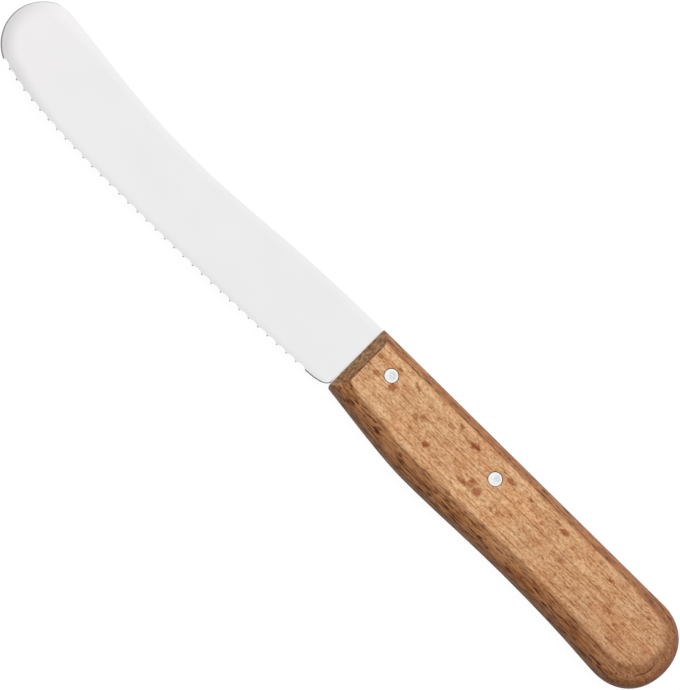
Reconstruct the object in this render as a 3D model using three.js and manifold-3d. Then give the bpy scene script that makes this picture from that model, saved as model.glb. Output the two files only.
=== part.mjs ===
// A breakfast knife: a stamped steel blade with a rounded spreading tip, a dipped spine and a scalloped
// edge. Its half tang sits in a slot sawn into a one-piece beech handle and is held by two solid rivets.
// Millimetres. The knife lies on its side: +X runs from the tip to the butt, +Y towards the spine and +Z
// up, out of the face that carries no edge grind. The origin is under the middle of the knife.
import * as THREE from "three";
import { mergeVertices } from "three/addons/utils/BufferGeometryUtils.js";
import Module from "manifold-3d";

const wasm = await Module();
wasm.setup();

// Driving dimensions. Lengths along the knife are measured from the front face of the handle, and heights
// and depths from the knife's long axis, heights towards the spine and depths towards the edge.

// Blade outline
const bladeLength = 117.9;
const spineAtHandle = 11.05;
const waistPlace = 62.7;
const waistHeight = 8.12;
const shoulderFromTip = 12.5;
const shoulderHeight = 11.93;
const tipRadius = 10.8;
const tipRise = 1.9;
const bellyPlace = 66.8;
const bellyDepth = 11.52;
const heelPlace = 6.4;
const heelDepth = 10.12;
const heelCornerPlace = 1;
const heelCornerDepth = 9.5;
const heelRootDepth = 8.3;

// Blade section and teeth
const sheetThickness = 1.2;
const edgeThickness = 0.8;
const toothCount = 34;
const toothDepth = 0.45;
const toothLand = 0.15;
const grindAngle = 20;

// Tang
const tangDepthFront = 4;
const tangDepthEnd = 1.5;
const tangPastRivet = 11;
const tangCorner = 3;
const tangInset = 0.2;

// Handle outline
const handleLength = 107.2;
const handleTopFront = 10.9;
const handleTopRear = 11.45;
const handleFrontDepth = 8.5;
const gripBellyPlace = 29.5;
const gripBellyDepth = 11.55;
const gripWaistPlace = 63;
const gripWaistDepth = 10.8;
const buttDepth = 12;

// Handle section
const handleThickness = 12.4;
const roundWidth = 3.2;
const roundHeight = 5;
const frontBevel = 2.85;
const frontFlat = 4;

// Rivets
const frontRivetPlace = 9.4;
const rearRivetPlace = 44.9;
const rivetHeight = 3;
const rivetDiameter = 3;
const rivetHeadDiameter = 3.4;
const rivetHeadHeight = 0.6;
const rivetHeadTaper = 0.5;
const rivetDishDiameter = 2.4;
const rivetDishDepth = 0.2;
const rivetRecess = 0.05;

// Clearances
const shoulderGap = 0.1;
const slotClearance = 0.1;
const rivetClearance = 0.1;
const rivetHeadGap = 0.25;

// Flow of the outlines: at each end of a curve, its slope (rise over run towards the butt) and its lead, the
// share of the curve's run for which it holds that slope. The tip's arc is bounded by angles in degrees.
const spineFlow = { slope: 0.01, lead: 0.56 };
const waistFlowBack = { slope: 0, lead: 0.335 };
const waistFlowFront = { slope: 0, lead: 0.4 };
const shoulderFlow = { slope: -0.13, lead: 0.28 };
const tipStartAngle = 120;
const tipEndAngle = 243.6;
const edgeFlow = { slope: -0.37, lead: 0.2 };
const bellyFlowFront = { slope: 0, lead: 0.42 };
const bellyFlowBack = { slope: 0, lead: 0.315 };
const heelFlow = { slope: 0.026, lead: 0.315 };
const gripFlow = { slope: -0.125, lead: 0.41 };
const gripBellyFlowFront = { slope: 0, lead: 0.25 };
const gripBellyFlowBack = { slope: 0, lead: 0.34 };
const gripWaistFlowFront = { slope: 0, lead: 0.39 };
const gripWaistFlowBack = { slope: 0, lead: 0.65 };
const buttFlow = { slope: 0, lead: 0.15 };
const buttFullness = 0.59;

// Fineness of the facets
const curveSteps = 12;
const roundSteps = 6;
const fluteSteps = 6;
const rivetSides = 32;
const dishSteps = 3;

// How far a cutting shape runs past what it cuts
const overcut = 2;

// A closed geometry as a solid that can be joined and cut.
function solid(geometry) {
  const bare = new THREE.BufferGeometry();
  bare.setAttribute("position", geometry.getAttribute("position"));
  bare.setIndex(geometry.getIndex());
  const merged = mergeVertices(bare);
  const vertProperties = merged.getAttribute("position").array;
  const triVerts = new Uint32Array(merged.getIndex().array);
  return new wasm.Manifold(new wasm.Mesh({ numProp: 3, vertProperties, triVerts }));
}

// The solid back as a flat-shaded geometry.
function geometryOf(made) {
  const { vertProperties, triVerts } = made.getMesh();
  const indexed = new THREE.BufferGeometry();
  indexed.setAttribute("position", new THREE.BufferAttribute(vertProperties, 3));
  indexed.setIndex(new THREE.BufferAttribute(triVerts, 1));
  const geometry = indexed.toNonIndexed();
  geometry.computeVertexNormals();
  return geometry;
}

// The point where a line through p along a meets a line through q along b.
function meet(p, a, q, b) {
  const between = q.clone().sub(p);
  return p.clone().addScaledVector(a, between.cross(b) / a.cross(b));
}

// Carries an outline on from its last point to the next one, flowing out of the first and into the second.
function flowTo(outline, x, y, leaving, arriving) {
  const { x: fromX, y: fromY } = outline.currentPoint;
  const lead = (x - fromX) * leaving.lead;
  const trail = (x - fromX) * arriving.lead;
  outline.bezierCurveTo(
    fromX + lead,
    fromY + lead * leaving.slope,
    x - trail,
    y - trail * arriving.slope,
    x,
    y,
  );
}

// Turns what was made along Y to stand along Z at a place on the knife.
function upright(geometry, x, y) {
  return geometry.rotateX(Math.PI / 2).translate(x, y, 0);
}

// Half the blade's thickness at a height y: a straight taper from the spine to the edge.
function halfThickness(y) {
  const share = (y + bellyDepth) / (spineAtHandle + bellyDepth);
  return THREE.MathUtils.lerp(edgeThickness, sheetThickness, share) / 2;
}

// The height of the handle's straight spine side at a place along the knife.
const buttRadius = (handleTopRear + buttDepth) / 2;
const buttCentre = handleLength - buttRadius;
const handleRise = (handleTopRear - handleTopFront) / buttCentre;
function handleTop(x) {
  return handleTopFront + handleRise * x;
}

// The line of the tooth points, from the tip's arc over the belly to the heel.
const tipCentre = new THREE.Vector2(tipRadius - bladeLength, tipRise);
const tipStart = THREE.MathUtils.degToRad(tipStartAngle);
const tipEnd = THREE.MathUtils.degToRad(tipEndAngle);
function onTip(angle) {
  return new THREE.Vector2(Math.cos(angle), Math.sin(angle)).multiplyScalar(tipRadius).add(tipCentre);
}

function toothPoints() {
  const start = onTip(tipEnd);
  const edge = new THREE.Path();
  edge.moveTo(start.x, start.y);
  flowTo(edge, -bellyPlace, -bellyDepth, edgeFlow, bellyFlowFront);
  flowTo(edge, -heelPlace, -heelDepth, bellyFlowBack, heelFlow);
  return edge.getSpacedPoints(toothCount);
}

// The outline of blade and tang, from the handle along the spine, round the tip and back along the edge.
const tangEnd = rearRivetPlace + tangPastRivet;
function bladeOutline(points) {
  const outline = new THREE.Shape();
  const shoulder = new THREE.Vector2(shoulderFromTip - bladeLength, shoulderHeight);
  const climb = new THREE.Vector2(-1, -shoulderFlow.slope);
  const tipTangent = new THREE.Vector2(-Math.sin(tipStart), Math.cos(tipStart));
  const arcStart = onTip(tipStart);
  const corner = meet(shoulder, climb, arcStart, tipTangent);
  outline.moveTo(-shoulderGap, spineAtHandle);
  flowTo(outline, -waistPlace, waistHeight, spineFlow, waistFlowBack);
  flowTo(outline, shoulder.x, shoulder.y, waistFlowFront, shoulderFlow);
  outline.quadraticCurveTo(corner.x, corner.y, arcStart.x, arcStart.y);
  outline.absarc(tipCentre.x, tipCentre.y, tipRadius, tipStart, tipEnd);
  for (const point of points) {
    outline.lineTo(point.x, point.y);
  }
  outline.quadraticCurveTo(-heelCornerPlace, -heelCornerDepth, -shoulderGap, -heelRootDepth);
  outline.lineTo(-shoulderGap, -tangDepthFront);
  outline.lineTo(tangEnd - tangCorner, -tangDepthEnd);
  outline.quadraticCurveTo(tangEnd, -tangDepthEnd, tangEnd, tangCorner - tangDepthEnd);
  outline.lineTo(tangEnd, handleTop(tangEnd) - tangInset - tangCorner);
  const tangTop = handleTop(tangEnd - tangCorner) - tangInset;
  outline.quadraticCurveTo(tangEnd, handleTop(tangEnd) - tangInset, tangEnd - tangCorner, tangTop);
  outline.lineTo(-shoulderGap, handleTop(-shoulderGap) - tangInset);
  return outline;
}

// What the taper takes off one face of the blade, side 1 for the upper face and -1 for the lower one.
function taperCut(side) {
  const reach = 2 * (spineAtHandle + bellyDepth);
  const length = bladeLength + overcut;
  const slant = Math.atan2((sheetThickness - edgeThickness) / 2, spineAtHandle + bellyDepth);
  const cut = new THREE.BoxGeometry(length, reach, sheetThickness);
  cut.translate(-length / 2, 0, (side * sheetThickness) / 2);
  cut.rotateX(side * slant);
  return solid(cut.translate(0, spineAtHandle, (side * sheetThickness) / 2));
}

// The hollow that the grinding wheel leaves between two tooth points: a flute that runs from the upper
// face, where it makes the scallop, down and inwards through the lower face.
function fluteCut(from, to) {
  const grind = THREE.MathUtils.degToRad(grindAngle);
  const along = to.clone().sub(from);
  const pitch = along.length();
  along.normalize();
  const inward = new THREE.Vector2(-along.y, along.x);
  const valley = from.clone().add(to).multiplyScalar(0.5).addScaledVector(inward, toothDepth);
  const halfChord = (pitch - toothLand) / 2;
  const sag = toothDepth * Math.sin(grind);
  const wheel = (halfChord ** 2 + sag ** 2) / (2 * sag);
  const halfWidth = pitch / 2 + toothLand;
  const swing = Math.asin(halfWidth / wheel);
  const below = toothDepth + overcut * sheetThickness;
  const through = sheetThickness / Math.sin(grind);
  const section = new THREE.Shape();
  section.moveTo(-halfWidth, -below);
  section.lineTo(halfWidth, -below);
  section.absarc(0, -wheel, wheel, Math.PI / 2 - swing, Math.PI / 2 + swing);
  const options = { depth: through + 2 * overcut, bevelEnabled: false, curveSegments: fluteSteps / 2 };
  const cut = new THREE.ExtrudeGeometry(section, options);
  const u = new THREE.Vector3(along.x, along.y, 0);
  const v = new THREE.Vector3(inward.x, inward.y, 0);
  const up = new THREE.Vector3(0, 0, 1);
  const normal = v.clone().multiplyScalar(Math.sin(grind)).addScaledVector(up, Math.cos(grind));
  const axis = v.clone().multiplyScalar(-Math.cos(grind)).addScaledVector(up, Math.sin(grind));
  const place = new THREE.Vector3(valley.x, valley.y, halfThickness(valley.y));
  place.addScaledVector(axis, -through - overcut);
  cut.applyMatrix4(new THREE.Matrix4().makeBasis(u, normal, axis).setPosition(place));
  return solid(cut);
}

const rivetPlaces = [frontRivetPlace, rearRivetPlace];

function blade() {
  const points = toothPoints();
  const outline = bladeOutline(points);
  for (const place of rivetPlaces) {
    const hole = new THREE.Path();
    hole.absarc(place, rivetHeight, rivetDiameter / 2 + rivetClearance, 0, 2 * Math.PI);
    outline.holes.push(hole);
  }
  const options = { depth: sheetThickness, bevelEnabled: false, curveSegments: curveSteps };
  const plate = new THREE.ExtrudeGeometry(outline, options).translate(0, 0, -sheetThickness / 2);
  let made = solid(plate).subtract(taperCut(1)).subtract(taperCut(-1));
  for (let tooth = 0; tooth < toothCount; tooth += 1) {
    made = made.subtract(fluteCut(points[tooth], points[tooth + 1]));
  }
  return geometryOf(made);
}

// The handle's outline, run on past its front face so that the front is cut square afterwards.
function handleOutline() {
  const front = -roundWidth - overcut;
  const outline = new THREE.Shape();
  outline.moveTo(front, -handleFrontDepth + gripFlow.slope * front);
  outline.lineTo(0, -handleFrontDepth);
  flowTo(outline, gripBellyPlace, -gripBellyDepth, gripFlow, gripBellyFlowFront);
  flowTo(outline, gripWaistPlace, -gripWaistDepth, gripBellyFlowBack, gripWaistFlowFront);
  flowTo(outline, buttCentre, -buttDepth, gripWaistFlowBack, buttFlow);
  const middle = handleTopRear - buttRadius;
  const bulge = buttFullness * buttRadius;
  const corner = buttCentre + bulge;
  outline.bezierCurveTo(corner, -buttDepth, handleLength, middle - bulge, handleLength, middle);
  outline.bezierCurveTo(handleLength, middle + bulge, corner, handleTopRear, buttCentre, handleTopRear);
  outline.lineTo(front, handleTop(front));
  return outline;
}

// What is cut off in front of the handle: a flat end face and a bevel up to each broad face.
function frontCut() {
  const half = handleThickness / 2;
  const slope = frontBevel / (half - frontFlat / 2);
  const top = half + overcut;
  const far = slope * (top - frontFlat / 2);
  const front = -roundWidth - 2 * overcut;
  const section = new THREE.Shape();
  section.moveTo(front, -top);
  section.lineTo(far, -top);
  section.lineTo(0, -frontFlat / 2);
  section.lineTo(0, frontFlat / 2);
  section.lineTo(far, top);
  section.lineTo(front, top);
  const depth = 2 * (handleTopRear + buttDepth);
  const cut = new THREE.ExtrudeGeometry(section, { depth, bevelEnabled: false });
  return solid(upright(cut, 0, depth / 2));
}

// The saw slot for the tang, open at the front and along the spine side.
function slotCut() {
  const bottom = -Math.max(tangDepthFront, tangDepthEnd) - slotClearance;
  const top = handleTopRear + overcut;
  const length = tangEnd + slotClearance + overcut;
  const slot = new THREE.BoxGeometry(length, top - bottom, sheetThickness + 2 * slotClearance);
  return solid(slot.translate(length / 2 - overcut, (top + bottom) / 2, 0));
}

// A rivet's bore through the handle, with a wider seat for the head in each broad face.
function rivetBore(place) {
  const radius = rivetDiameter / 2 + rivetClearance;
  const bore = new THREE.CylinderGeometry(radius, radius, handleThickness + overcut, rivetSides);
  let made = solid(upright(bore, place, rivetHeight));
  const seatRadius = rivetHeadDiameter / 2 + rivetHeadGap;
  const seatDepth = rivetRecess + rivetHeadHeight + rivetHeadTaper;
  for (const side of [1, -1]) {
    const seat = new THREE.CylinderGeometry(seatRadius, seatRadius, seatDepth + overcut, rivetSides);
    const middle = side * ((handleThickness + overcut - seatDepth) / 2);
    made = made.add(solid(upright(seat, place, rivetHeight).translate(0, 0, middle)));
  }
  return made;
}

function handle() {
  const height = Math.min(roundHeight, (handleThickness - frontFlat / 2) / 2);
  const depth = handleThickness - 2 * height;
  const slab = new THREE.ExtrudeGeometry(handleOutline(), {
    depth,
    curveSegments: curveSteps,
    bevelSegments: roundSteps,
    bevelThickness: height,
    bevelSize: roundWidth,
    bevelOffset: -roundWidth,
  });
  slab.translate(0, 0, -depth / 2);
  let made = solid(slab).subtract(frontCut()).subtract(slotCut());
  for (const place of rivetPlaces) {
    made = made.subtract(rivetBore(place));
  }
  return geometryOf(made);
}

// One solid rivet, upset to a head at both ends, each with the shallow dish of the closing punch.
function rivet() {
  const end = handleThickness / 2 - rivetRecess;
  const shank = rivetDiameter / 2;
  const head = rivetHeadDiameter / 2;
  const dish = rivetDishDiameter / 2;
  const upper = [
    new THREE.Vector2(shank, end - rivetHeadHeight - rivetHeadTaper),
    new THREE.Vector2(head, end - rivetHeadHeight),
    new THREE.Vector2(head, end),
  ];
  for (let step = dishSteps; step >= 0; step -= 1) {
    const share = step / dishSteps;
    upper.push(new THREE.Vector2(dish * share, end - rivetDishDepth * (1 - share ** 2)));
  }
  const lower = upper.map((point) => new THREE.Vector2(point.x, -point.y)).reverse();
  return new THREE.LatheGeometry([...lower, ...upper], rivetSides).rotateX(Math.PI / 2);
}

const stainlessSteel = { color: 0xe2e2e3, roughness: 0.3, metalness: 1 };
const oiledBeech = { color: 0xc7976f, roughness: 0.55, metalness: 0 };
const aluminium = { color: 0xe6e4e2, roughness: 0.35, metalness: 1 };

function piece(name, geometry, finish, x = 0, y = 0) {
  const mesh = new THREE.Mesh(geometry, new THREE.MeshStandardMaterial(finish));
  mesh.name = name;
  mesh.position.set(x, y, 0);
  return mesh;
}

const parts = new THREE.Group();
parts.add(piece("blade", blade(), stainlessSteel));
parts.add(piece("handle", handle(), oiledBeech));
parts.add(piece("front_rivet", rivet(), aluminium, frontRivetPlace, rivetHeight));
parts.add(piece("rear_rivet", rivet(), aluminium, rearRivetPlace, rivetHeight));

// The knife laid on its broad face, with the origin under the middle of its box.
const box = new THREE.Box3().setFromObject(parts);
const middle = box.getCenter(new THREE.Vector3());
parts.position.set(-middle.x, -middle.y, -box.min.z);

const knife = new THREE.Group();
knife.name = "breakfast_knife";
knife.add(parts);

export default knife;
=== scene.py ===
# %% [markdown]
# # A breakfast knife
# A stamped steel blade with a round spreading tip and a scalloped edge, its tang held in a beech handle by
# two aluminium rivets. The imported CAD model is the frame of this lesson: every piece that is modelled below
# lies where the CAD node of that name lies, and stands in for it with a finer shape and a finish.

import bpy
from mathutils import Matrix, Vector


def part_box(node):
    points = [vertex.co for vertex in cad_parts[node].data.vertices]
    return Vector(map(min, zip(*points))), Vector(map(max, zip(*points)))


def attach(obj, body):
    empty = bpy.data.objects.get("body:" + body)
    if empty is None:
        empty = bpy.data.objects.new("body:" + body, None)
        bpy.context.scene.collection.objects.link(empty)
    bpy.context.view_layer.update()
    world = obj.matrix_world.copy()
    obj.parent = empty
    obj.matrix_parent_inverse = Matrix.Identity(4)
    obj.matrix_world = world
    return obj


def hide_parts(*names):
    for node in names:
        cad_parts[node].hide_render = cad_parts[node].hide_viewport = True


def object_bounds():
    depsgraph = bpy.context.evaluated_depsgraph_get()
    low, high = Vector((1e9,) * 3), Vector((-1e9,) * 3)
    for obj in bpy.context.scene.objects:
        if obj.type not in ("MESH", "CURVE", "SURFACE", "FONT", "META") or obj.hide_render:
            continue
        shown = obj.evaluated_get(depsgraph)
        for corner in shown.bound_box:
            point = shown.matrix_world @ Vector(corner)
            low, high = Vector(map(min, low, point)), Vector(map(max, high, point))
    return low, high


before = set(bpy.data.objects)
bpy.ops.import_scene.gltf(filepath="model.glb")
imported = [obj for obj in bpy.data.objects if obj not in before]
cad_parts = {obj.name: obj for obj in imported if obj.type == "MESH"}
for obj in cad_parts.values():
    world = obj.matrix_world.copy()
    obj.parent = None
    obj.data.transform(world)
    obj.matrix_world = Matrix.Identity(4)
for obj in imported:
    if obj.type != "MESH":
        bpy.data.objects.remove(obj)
cad_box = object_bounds()
print("CAD nodes:", sorted(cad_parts))

# %% [markdown]
# ## Units and the knife's own axes
# The knife is drawn in millimetres: lengths from the front of the CAD handle (minus towards the tip) and
# heights from the long axis (plus towards the spine). Modelling happens there, where an operator's small
# distances are safe. Each finished piece is then scaled to metres and set down in the frame, in one step.

# %% The knife's axes in the frame
import math
from functools import partial

import bmesh
import bpy
from mathutils import Matrix, Vector
from mathutils.geometry import interpolate_bezier

MM = 0.001
BUTT_DEPTH = 12.0

handle_low, handle_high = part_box("handle")
blade_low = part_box("blade")[0]
handle_length = (handle_high.x - handle_low.x) / MM
half_thickness = (handle_high.z - handle_low.z) / MM / 2
blade_length = (handle_low.x - blade_low.x) / MM
knife_axis = Vector((handle_low.x, handle_low.y + BUTT_DEPTH * MM, (handle_low.z + handle_high.z) / 2))
print(f"blade {blade_length:.1f} mm, handle {handle_length:.1f} mm, {2 * half_thickness:.1f} mm thick")

# %% [markdown]
# ## Helpers for working by hand
# An operator acts on what is selected, so most steps are: select by place, then act. `pick` does the first
# half in edit mode. `combine` cuts or joins with a second object, as a saw, a drill or a weld would, and
# `settle` puts a finished piece into the frame, on the body that it rides on and in place of its CAD node.

# %% Select, combine and settle
def pick(kind, test):
    """In edit mode, selects the vertices, edges or faces that pass a test, and says how many there are."""
    bpy.ops.mesh.select_mode(type=kind)
    bpy.ops.mesh.select_all(action="DESELECT")
    mesh = bmesh.from_edit_mesh(bpy.context.object.data)
    mesh.verts.index_update()
    group = {"VERT": mesh.verts, "EDGE": mesh.edges, "FACE": mesh.faces}[kind]
    chosen = [element for element in group if test(element)]
    for element in chosen:
        element.select_set(True)
    mesh.select_flush_mode()
    bmesh.update_edit_mesh(bpy.context.object.data)
    return len(chosen)


def activate(piece):
    """Selects one object alone and makes it the active one."""
    bpy.ops.object.select_all(action="DESELECT")
    piece.select_set(True)
    bpy.context.view_layer.objects.active = piece


def combine(piece, tool, operation):
    """Cuts a piece with a tool, or joins the tool to it, and takes the tool away."""
    activate(piece)
    modifier = piece.modifiers.new("combine", "BOOLEAN")
    modifier.operation = operation
    modifier.object = tool
    modifier.solver = "EXACT"
    modifier.material_mode = "TRANSFER"
    bpy.ops.object.modifier_apply(modifier=modifier.name)
    bpy.data.objects.remove(tool, do_unlink=True)


def settle(piece, node, smooth_angle):
    """Smooths a finished piece, scales it to metres, sets it in the frame and lets it stand for a node."""
    activate(piece)
    bpy.ops.object.shade_smooth_by_angle(angle=math.radians(smooth_angle))
    modifier = piece.modifiers.new("even shading", "WEIGHTED_NORMAL")
    modifier.keep_sharp = True
    bpy.ops.object.modifier_apply(modifier=modifier.name)
    piece.scale = (MM, MM, MM)
    piece.location = knife_axis
    bpy.ops.object.transform_apply(location=True, rotation=True, scale=True)
    piece.name = node + "_finished"
    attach(piece, "root")
    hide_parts(node)
    print(piece.name, len(piece.data.polygons), "faces")


# %% [markdown]
# ## Colours and nodes
# Colours are written as the sRGB hex values that a paint program shows, and turned to linear light once,
# here. `add_node` adds a node to a material, sets its properties, and fills or links its inputs, by name or
# by place: a Mix has its share at 0, and what it mixes at 2 and 3, or at 6 and 7 for colours. A Map Range
# reads the range from 1 to 2 and gives the range from 3 to 4. Every material starts with its own `add`, and
# with its place in millimetres, so that random patterns have real sizes along, up and through the knife.

# %% Colour and node helpers
def linear(hex_colour):
    """A colour such as "#C7976F" as linear red, green, blue and alpha."""
    channels = [int(hex_colour[place:place + 2], 16) / 255 for place in (1, 3, 5)]
    return [c / 12.92 if c <= 0.04045 else ((c + 0.055) / 1.055) ** 2.4 for c in channels] + [1.0]


def add_node(tree, kind, inputs=None, **settings):
    """Adds a node with its settings. Each input is a value, or the socket or node that feeds it."""
    node = tree.nodes.new("ShaderNode" + kind)
    for name, value in settings.items():
        setattr(node, name, value)
    for socket, source in (inputs or {}).items():
        if isinstance(source, bpy.types.Node):
            source = next(output for output in source.outputs if output.enabled)
        if isinstance(source, bpy.types.NodeSocket):
            tree.links.new(source, node.inputs[socket])
        else:
            node.inputs[socket].default_value = source
    return node


def new_material(name, patterns, origin=(0, 0, 0)):
    """A material, its `add`, and by name its place in millimetres and noises of a size and a detail."""
    material = bpy.data.materials.new(name)
    material.use_nodes = True
    material.node_tree.nodes.clear()
    add = partial(add_node, material.node_tree)
    metres = add("TexCoord").outputs["Object"]
    scaled = {"Vector": metres, "Location": origin, "Scale": (MM, MM, MM)}
    place = add("Mapping", scaled, vector_type="TEXTURE")
    given = {"place": place}
    for pattern, (size, detail) in patterns.items():
        steps = add("Mapping", {"Vector": place, "Scale": [1 / length for length in size]})
        given[pattern] = add("TexNoise", {"Vector": steps, "Scale": 1.0, "Detail": detail})
    return material, add, given


# %% [markdown]
# ## Outlines and skins
# Both the blade and the handle are flat outlines with a softened rim. An outline could be drawn as a curve
# and bevelled, but a bevel has one width all round. Here each step of the rim is a ring of its own: the
# outline moved inwards a little and up a little. A circle of as many points is bent to each ring, and the
# rings are bridged.

# %% Draw outlines, shrink them and bridge them
def flow(start, end, leaving, arriving):
    """A curve from start to end. At each end it holds a slope for a share of its run."""
    lead = (end.x - start.x) * leaving[1]
    trail = (end.x - start.x) * arriving[1]
    first_hold = start + Vector((lead, lead * leaving[0]))
    last_hold = end - Vector((trail, trail * arriving[0]))
    return start, first_hold, last_hold, end


def bend(start, corner, end):
    """A curve that rounds a corner between two points."""
    return start, start.lerp(corner, 2 / 3), end.lerp(corner, 2 / 3), end


def walk(curve, steps):
    """Points along a curve, without its last one."""
    return interpolate_bezier(*curve, steps + 1)[:-1]


def shrink(points, distances):
    """A closed outline moved inwards, by a distance of its own at each point."""
    moved = []
    for index, (point, distance) in enumerate(zip(points, distances)):
        along = points[(index + 1) % len(points)] - points[index - 1]
        inward = Vector((-along.y, along.x)).normalized()
        moved.append(point + inward * distance)
    return moved


def skin(name, rings):
    """A closed skin over rings of as many points: bridged ring to ring and capped at both ends."""
    count = len(rings[0])
    bpy.ops.mesh.primitive_circle_add(vertices=count)
    piece = bpy.context.object
    piece.name = name
    bpy.ops.object.mode_set(mode="EDIT")
    for _ in rings[1:]:
        bpy.ops.mesh.primitive_circle_add(vertices=count)
    bpy.ops.object.mode_set(mode="OBJECT")
    places = [place for ring in rings for place in ring]
    for vertex, place in zip(piece.data.vertices, places):
        vertex.co = place
    bpy.ops.object.mode_set(mode="EDIT")
    for step in range(len(rings) - 1):
        pick("VERT", lambda vertex: vertex.index // count in (step, step + 1))
        bpy.ops.mesh.bridge_edge_loops()
    for cap in (0, len(rings) - 1):
        pick("VERT", lambda vertex: vertex.index // count == cap)
        bpy.ops.mesh.edge_face_add()
    bpy.ops.mesh.select_all(action="SELECT")
    bpy.ops.mesh.normals_make_consistent(inside=False)
    bpy.ops.object.mode_set(mode="OBJECT")
    return piece


# %% [markdown]
# ## The blade's outline
# The blank is stamped from sheet steel: a spine that dips to a waist and swells to the spreading tip, a
# round tip, a bellied edge and a small round heel. It could be traced point by point, but a few places with
# the slopes between them are easier to change. The points run round it from the handle. They go on a little
# behind the handle's front, so that the rim's rounding can be cut off square there.

# %% Places and slopes on the blade
TEETH = 34
SHOULDER_GAP = 0.1
SPINE_ROOT = Vector((-SHOULDER_GAP, 11.05))
WAIST = Vector((-62.7, 8.12))
SHOULDER = Vector((12.5 - blade_length, 11.93))
TIP_RADIUS = 10.8
TIP_INSET = 0.15
TIP_CENTRE = Vector((TIP_RADIUS + TIP_INSET - blade_length, 1.9))
TIP_ANGLES = (math.radians(120), math.radians(243.6))
BELLY = Vector((-66.8, -11.52))
HEEL = Vector((-6.4, -9.76))
HEEL_CORNER = Vector((-1.1, -9.55))
HEEL_ROOT = Vector((-SHOULDER_GAP, -7.9))
BEHIND_FRONT = 3.0

# Each pair is a slope and the share of its run that holds it
SPINE_AT_ROOT = (0.01, 0.56)
WAIST_FROM_ROOT = (0, 0.335)
WAIST_TO_SHOULDER = (0, 0.4)
SPINE_AT_SHOULDER = (-0.13, 0.28)
EDGE_AT_TIP = (-0.37, 0.2)
BELLY_FROM_TIP = (0, 0.42)
BELLY_TO_HEEL = (0, 0.315)
EDGE_AT_HEEL = (0.11, 0.12)

# How finely each stretch is walked
SPINE_STEPS = 30
SWELL_STEPS = 26
SHOULDER_STEPS = 12
TIP_STEPS = 36
EDGE_STEPS = 200
TOOTH_STEPS = 5
HEEL_STEPS = 16


# %% Blade outline
def on_tip(angle):
    """A point on the tip's arc."""
    return TIP_CENTRE + Vector((math.cos(angle), math.sin(angle))) * TIP_RADIUS


def spaced(points, count):
    """A line of points walked again in equal steps."""
    lengths = [0.0]
    for start, end in zip(points, points[1:]):
        lengths.append(lengths[-1] + (end - start).length)
    stations = []
    for step in range(count + 1):
        target = lengths[-1] * step / count
        after = next((i for i, length in enumerate(lengths) if length >= target and i), len(lengths) - 1)
        share = (target - lengths[after - 1]) / (lengths[after] - lengths[after - 1])
        stations.append(points[after - 1].lerp(points[after], share))
    return stations


def edge_line():
    """The cutting edge before the teeth are ground: from the tip's arc over the belly to the heel."""
    front = flow(on_tip(TIP_ANGLES[1]), BELLY, EDGE_AT_TIP, BELLY_FROM_TIP)
    back = flow(BELLY, HEEL, BELLY_TO_HEEL, EDGE_AT_HEEL)
    return walk(front, EDGE_STEPS) + walk(back, EDGE_STEPS) + [HEEL]


def blade_outline():
    """Points round the blade, from the handle along the spine, the tip and the edge to the heel."""
    rise = Vector((-1.0, -SPINE_AT_SHOULDER[0]))
    start = on_tip(TIP_ANGLES[0])
    tangent = Vector((-math.sin(TIP_ANGLES[0]), math.cos(TIP_ANGLES[0])))
    corner = SHOULDER + rise * ((start - SHOULDER).cross(tangent) / rise.cross(tangent))
    swing = TIP_ANGLES[1] - TIP_ANGLES[0]
    points = [SPINE_ROOT + Vector((BEHIND_FRONT, 0))]
    points += walk(flow(SPINE_ROOT, WAIST, SPINE_AT_ROOT, WAIST_FROM_ROOT), SPINE_STEPS)
    points += walk(flow(WAIST, SHOULDER, WAIST_TO_SHOULDER, SPINE_AT_SHOULDER), SWELL_STEPS)
    points += walk(bend(SHOULDER, corner, start), SHOULDER_STEPS)
    points += [on_tip(TIP_ANGLES[0] + swing * step / TIP_STEPS) for step in range(TIP_STEPS)]
    points += spaced(edge_line(), TEETH * TOOTH_STEPS)[:-1]
    points += walk(bend(HEEL, HEEL_CORNER, HEEL_ROOT), HEEL_STEPS)
    points += [HEEL_ROOT, HEEL_ROOT + (HEEL_ROOT - HEEL_CORNER).normalized() * BEHIND_FRONT]
    return points


outline = blade_outline()
print("blade outline of", len(outline), "points")

# %% [markdown]
# ## The blade's body
# The sheet tapers from spine to edge. Its rim is rounded, and polishing has let the faces fall away a
# little towards the rim, most at the tip: that soft margin is what turns grey there in the light. The rings
# below run over the margin of the lower face, round the rim, and over the margin of the upper face.

# %% The section of the blade's rim
SHEET = 1.2
EDGE = 1.0
RIM_ROUND_TIP = 0.42
RIM_ROUND_ALONG = 0.25
RIM_WALL = 0.05
ROUND_STEPS = 4
MARGIN = 4.2
MARGIN_DROP = 0.26
MARGIN_ALONG = 0.5
MARGIN_FALL_POWER = 1.5
MARGIN_STEPS = 6
TIP_START = -92.0
TIP_RUN = 16.0


def half_sheet(y):
    """Half the thickness of the sheet at a height."""
    share = (y - BELLY.y) / (SPINE_ROOT.y - BELLY.y)
    return (EDGE + (SHEET - EDGE) * share) / 2


def near_tip(point):
    """0 along the blade and 1 at its tip."""
    return min(1.0, max(0.0, (TIP_START - point.x) / TIP_RUN))


def margin(point):
    """How wide the polished margin is at a place, and how far the face falls over it."""
    share = MARGIN_ALONG + (1 - MARGIN_ALONG) * near_tip(point)
    return MARGIN * share, MARGIN_DROP * share**MARGIN_FALL_POWER


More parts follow.
